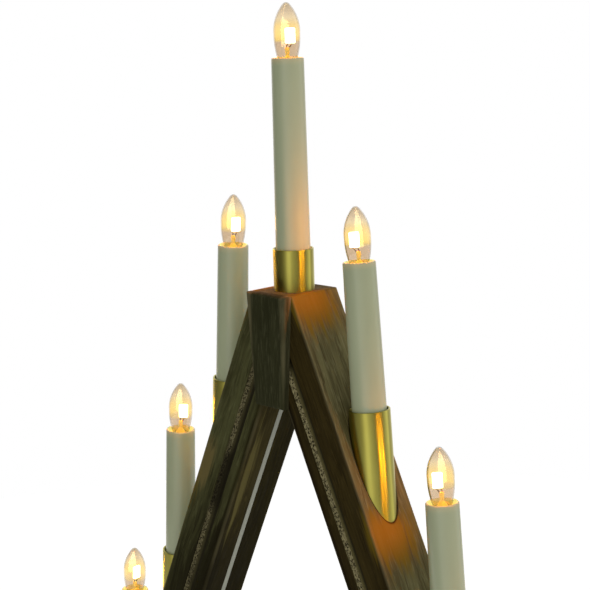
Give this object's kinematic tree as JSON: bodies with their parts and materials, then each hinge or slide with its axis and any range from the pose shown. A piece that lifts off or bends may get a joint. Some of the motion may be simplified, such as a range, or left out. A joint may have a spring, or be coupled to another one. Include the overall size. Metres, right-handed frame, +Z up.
{
  "type": "candle arch",
  "caption": "Electric candle arch: two dark stained wooden arms leaning together under a keystone plate, with brass sleeves, ivory candle tubes and screw-in bulbs on a plank base.",
  "frame": {"origin": "middle of the footprint, on the floor under the felt pads", "axes": "+Z up, front faces -Y, +X to the right seen from the front"},
  "size_m": [0.4696, 0.11, 0.6244],
  "materials": {
    "stained_wood": "dark grey-brown stain, matt, grain along each piece",
    "dowel_wood": "plain beech",
    "brass": "satin, drawn tube",
    "ivory_plastic": "satin ivory, slightly translucent at the lit end",
    "socket_plastic": "plain white",
    "contact_brass": "bare",
    "cap_metal": "nickel-plated",
    "bulb_glass": "clear",
    "filament": "lit plate on a glass stem",
    "felt": "pressed felt",
    "steel": "zinc-plated",
    "wire_sheath": "white sheath"
  },
  "bodies": {
    "frame": {"left_arm": "stained_wood", "right_arm": "stained_wood", "apex_block": "stained_wood", "apex_dowels": "dowel_wood", "base": "stained_wood", "base_screws": "steel", "felt_pads": "felt", "wire_left": "wire_sheath", "wire_right": "wire_sheath", "sleeve_top": "brass", "sleeve_left_1": "brass", "sleeve_left_2": "brass", "sleeve_left_3": "brass", "sleeve_right_1": "brass", "sleeve_right_2": "brass", "sleeve_right_3": "brass", "tube_top": "ivory_plastic", "tube_left_1": "ivory_plastic", "tube_left_2": "ivory_plastic", "tube_left_3": "ivory_plastic", "tube_right_1": "ivory_plastic", "tube_right_2": "ivory_plastic", "tube_right_3": "ivory_plastic", "socket_top": "socket_plastic", "socket_left_1": "socket_plastic", "socket_left_2": "socket_plastic", "socket_left_3": "socket_plastic", "socket_right_1": "socket_plastic", "socket_right_2": "socket_plastic", "socket_right_3": "socket_plastic"},
    "contact_top": {"contact_top": "contact_brass"},
    "bulb_top": {"bulb_cap_top": "cap_metal", "bulb_glass_top": "bulb_glass", "bulb_filament_top": "filament"},
    "contact_left_1": {"contact_left_1": "contact_brass"},
    "bulb_left_1": {"bulb_cap_left_1": "cap_metal", "bulb_glass_left_1": "bulb_glass", "bulb_filament_left_1": "filament"},
    "contact_left_2": {"contact_left_2": "contact_brass"},
    "bulb_left_2": {"bulb_cap_left_2": "cap_metal", "bulb_glass_left_2": "bulb_glass", "bulb_filament_left_2": "filament"},
    "contact_left_3": {"contact_left_3": "contact_brass"},
    "bulb_left_3": {"bulb_cap_left_3": "cap_metal", "bulb_glass_left_3": "bulb_glass", "bulb_filament_left_3": "filament"},
    "contact_right_1": {"contact_right_1": "contact_brass"},
    "bulb_right_1": {"bulb_cap_right_1": "cap_metal", "bulb_glass_right_1": "bulb_glass", "bulb_filament_right_1": "filament"},
    "contact_right_2": {"contact_right_2": "contact_brass"},
    "bulb_right_2": {"bulb_cap_right_2": "cap_metal", "bulb_glass_right_2": "bulb_glass", "bulb_filament_right_2": "filament"},
    "contact_right_3": {"contact_right_3": "contact_brass"},
    "bulb_right_3": {"bulb_cap_right_3": "cap_metal", "bulb_glass_right_3": "bulb_glass", "bulb_filament_right_3": "filament"}
  },
  "joints": [
    {"name": "rise_top", "type": "slide", "parent": "frame", "child": "contact_top", "axis": [0, 0, 1], "range_m": [0, 0.00181]},
    {"name": "turn_top", "type": "hinge", "parent": "contact_top", "child": "bulb_top", "pos_m": [0, 0, 0.594], "axis": [0, 0, 1], "range_deg": [0, 360]},
    {"name": "rise_left_1", "type": "slide", "parent": "frame", "child": "contact_left_1", "axis": [0.0663, 0, 0.9978], "range_m": [0, 0.00181]},
    {"name": "turn_left_1", "type": "hinge", "parent": "contact_left_1", "child": "bulb_left_1", "pos_m": [-0.052, 0, 0.48332], "axis": [0.0663, 0, 0.9978], "range_deg": [0, 360]},
    {"name": "rise_left_2", "type": "slide", "parent": "frame", "child": "contact_left_2", "axis": [0.0663, 0, 0.9978], "range_m": [0, 0.00181]},
    {"name": "turn_left_2", "type": "hinge", "parent": "contact_left_2", "child": "bulb_left_2", "pos_m": [-0.10987, 0, 0.35807], "axis": [0.0663, 0, 0.9978], "range_deg": [0, 360]},
    {"name": "rise_left_3", "type": "slide", "parent": "frame", "child": "contact_left_3", "axis": [0.0663, 0, 0.9978], "range_m": [0, 0.00181]},
    {"name": "turn_left_3", "type": "hinge", "parent": "contact_left_3", "child": "bulb_left_3", "pos_m": [-0.16775, 0, 0.23282], "axis": [0.0663, 0, 0.9978], "range_deg": [0, 360]},
    {"name": "rise_right_1", "type": "slide", "parent": "frame", "child": "contact_right_1", "axis": [-0.0663, 0, 0.9978], "range_m": [0, 0.00181]},
    {"name": "turn_right_1", "type": "hinge", "parent": "contact_right_1", "child": "bulb_right_1", "pos_m": [0.052, 0, 0.48332], "axis": [-0.0663, 0, 0.9978], "range_deg": [0, 360]},
    {"name": "rise_right_2", "type": "slide", "parent": "frame", "child": "contact_right_2", "axis": [-0.0663, 0, 0.9978], "range_m": [0, 0.00181]},
    {"name": "turn_right_2", "type": "hinge", "parent": "contact_right_2", "child": "bulb_right_2", "pos_m": [0.10987, 0, 0.35807], "axis": [-0.0663, 0, 0.9978], "range_deg": [0, 360]},
    {"name": "rise_right_3", "type": "slide", "parent": "frame", "child": "contact_right_3", "axis": [-0.0663, 0, 0.9978], "range_m": [0, 0.00181]},
    {"name": "turn_right_3", "type": "hinge", "parent": "contact_right_3", "child": "bulb_right_3", "pos_m": [0.16775, 0, 0.23282], "axis": [-0.0663, 0, 0.9978], "range_deg": [0, 360]}
  ],
  "couplings": [
    {"joint": "turn_top", "follows": "rise_top", "rad_per_m": 3463.7},
    {"joint": "turn_left_1", "follows": "rise_left_1", "rad_per_m": 3463.7},
    {"joint": "turn_left_2", "follows": "rise_left_2", "rad_per_m": 3463.7},
    {"joint": "turn_left_3", "follows": "rise_left_3", "rad_per_m": 3463.7},
    {"joint": "turn_right_1", "follows": "rise_right_1", "rad_per_m": 3463.7},
    {"joint": "turn_right_2", "follows": "rise_right_2", "rad_per_m": 3463.7},
    {"joint": "turn_right_3", "follows": "rise_right_3", "rad_per_m": 3463.7}
  ]
}
